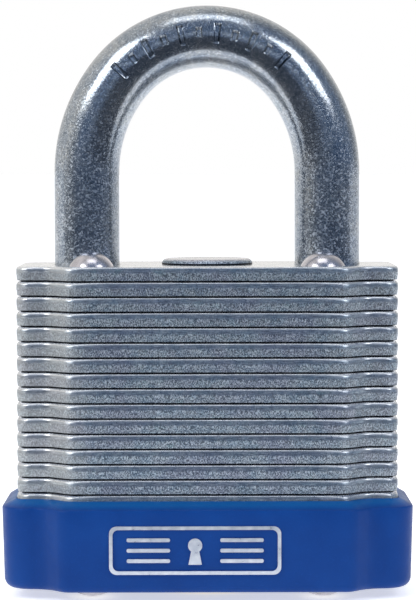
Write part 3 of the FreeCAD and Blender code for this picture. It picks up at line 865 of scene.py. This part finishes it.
def finished_spring(spring, axis):
    """The CAD spring's mesh, smoothed and given spring steel in place of the CAD node; the seat and tip points it
    works out are not used.
    """
    mesh = smooth_by_angle(welded_copy(spring), 40)
    piece = bpy.data.objects.new(spring + "_finished", mesh)
    bpy.context.scene.collection.objects.link(piece)
    mesh.materials.clear()
    mesh.materials.append(MATERIALS["spring_steel"])
    low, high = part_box(spring)
    margin = END_COIL_SHARE * (high[axis] - low[axis])
    seat, tip = (low + high) / 2, (low + high) / 2
    seat[axis] = low[axis] + margin
    tip[axis] = high[axis] - margin
    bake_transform(piece)
    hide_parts(spring)


def place_camera():
    """A long lens in front of the lock, a little above its middle and looking slightly down."""
    camera = bpy.data.objects.new("camera", bpy.data.cameras.new("camera"))
    bpy.context.scene.collection.objects.link(camera)
    camera.data.sensor_width = 36
    camera.data.lens = LENS_MM
    camera.data.clip_start = 0.01
    camera.location = CAMERA_PLACE
    tilt = Matrix.Rotation(math.radians(90) - CAMERA_DOWNWARD, 4, "X")
    roll = Matrix.Rotation(CAMERA_ROLL, 4, "Z")
    camera.rotation_euler = (tilt @ roll).to_euler()
    bpy.context.scene.camera = camera


def soft_box(name, place, target, size, brightness, colour=(1, 1, 1)):
    """A rectangular lamp whose face has the given brightness, whatever its size."""
    light = bpy.data.lights.new(name, "AREA")
    light.shape = "RECTANGLE"
    light.size, light.size_y = size
    light.energy = brightness * math.pi * size[0] * size[1]
    light.color = colour
    lamp = bpy.data.objects.new(name, light)
    bpy.context.scene.collection.objects.link(lamp)
    lamp.location = place
    lamp.rotation_euler = (Vector(target) - Vector(place)).to_track_quat("-Z", "Y").to_euler()


def light_studio():
    """Soft boxes beside and above the lock, in a surround that is white behind it."""
    soft_box("soft_left", (-0.42, -0.34, 0.44), (0, 0, 0.05), (0.28, 0.32), 6.0)
    soft_box("soft_right", (0.42, -0.34, 0.44), (0, 0, 0.05), (0.28, 0.32), 4.3)
    soft_box("soft_top", (0, -0.10, 0.55), (0, 0, 0.03), (0.30, 0.20), 2.2)
    soft_box("front_fill", (0.05, -0.75, 0.22), (0, 0, 0.03), (0.40, 0.16), 0.35)
    world = bpy.data.worlds.new("surround")
    world.use_nodes = True
    bpy.context.scene.world = world
    nodes, links = world.node_tree.nodes, world.node_tree.links
    background = nodes["Background"]
    split = nodes.new("ShaderNodeSeparateXYZ")
    links.new(nodes.new("ShaderNodeTexCoord").outputs["Generated"], split.inputs[0])
    lean = nodes.new("ShaderNodeMath")
    lean.operation = "MULTIPLY_ADD"
    links.new(split.outputs["X"], lean.inputs[0])
    lean.inputs[1].default_value = -0.65
    links.new(split.outputs["Y"], lean.inputs[2])
    depth = nodes.new("ShaderNodeMapRange")
    links.new(lean.outputs[0], depth.inputs["Value"])
    for name, number in (("From Min", -1.0), ("From Max", 1.0), ("To Min", 0.0), ("To Max", 1.0)):
        depth.inputs[name].default_value = number
    ramp = nodes.new("ShaderNodeValToRGB")
    links.new(depth.outputs["Result"], ramp.inputs["Fac"])
    stops = [
        (0.0, (0.14, 0.21, 0.34)),
        (0.26, (0.23, 0.30, 0.43)),
        (0.50, (0.40, 0.42, 0.45)),
        (0.76, (0.94, 0.92, 0.89)),
    ]
    while len(ramp.color_ramp.elements) < len(stops):
        ramp.color_ramp.elements.new(0.5)
    for element, (position, colour) in zip(ramp.color_ramp.elements, stops):
        element.position = position
        element.color = (*colour, 1)
    white = nodes.new("ShaderNodeMix")
    white.data_type = "RGBA"
    white.inputs[7].default_value = (1, 1, 1, 1)
    links.new(nodes.new("ShaderNodeLightPath").outputs["Is Camera Ray"], white.inputs[0])
    links.new(ramp.outputs["Color"], white.inputs[6])
    links.new(white.outputs[2], background.inputs["Color"])
    bpy.context.scene.view_settings.view_transform = "Standard"


def build_floor():
    """A plain pale sheet that the lock stands on."""
    work = bmesh.new()
    bmesh.ops.create_grid(work, x_segments=8, y_segments=8, size=20.0)
    mesh = bpy.data.meshes.new("floor")
    work.to_mesh(mesh)
    work.free()
    floor = bpy.data.objects.new("floor", mesh)
    bpy.context.scene.collection.objects.link(floor)
    floor.location.z = -0.02 * MM
    s = Surface("floor_paper", 0.0, 0.7)
    s.colour(s.mix(s.noise(0.3, 2), (0.86, 0.86, 0.87), (0.89, 0.89, 0.90)))
    s.shader.inputs["Emission Color"].default_value = (1, 1, 1, 1)
    s.shader.inputs["Emission Strength"].default_value = 0.58
    mesh.materials.append(s.material)


def build_dark_card():
    """A matt dark sheet before the lock, which only the metal's reflections see."""
    work = bmesh.new()
    bmesh.ops.create_grid(work, x_segments=4, y_segments=4, size=1.0)
    mesh = bpy.data.meshes.new("dark_card")
    work.to_mesh(mesh)
    work.free()
    card = bpy.data.objects.new("dark_card", mesh)
    bpy.context.scene.collection.objects.link(card)
    card.scale = (3.0, 3.0, 1.0)
    card.location = (0, -3.05, 0.0005)
    card.visible_camera = False
    card.visible_diffuse = False
    card.visible_shadow = False
    s = Surface("dark_card", 0.0, 0.9)
    s.colour(s.mix(s.noise(0.3, 2), (0.05, 0.06, 0.08), (0.06, 0.07, 0.09)))
    mesh.materials.append(s.material)


paint_cad_nodes()
for number, plate in enumerate(PLATES):
    finished_plate(plate, number)
finished_bumper()
finished_rivets()
finished_retaining_pin()
finished_shackle()
finished_spring("shackle_spring", 2)
for chamber in range(1, 6):
    finished_spring(f"driver_spring_{chamber}", 0)
place_camera()
light_studio()
build_floor()
build_dark_card()
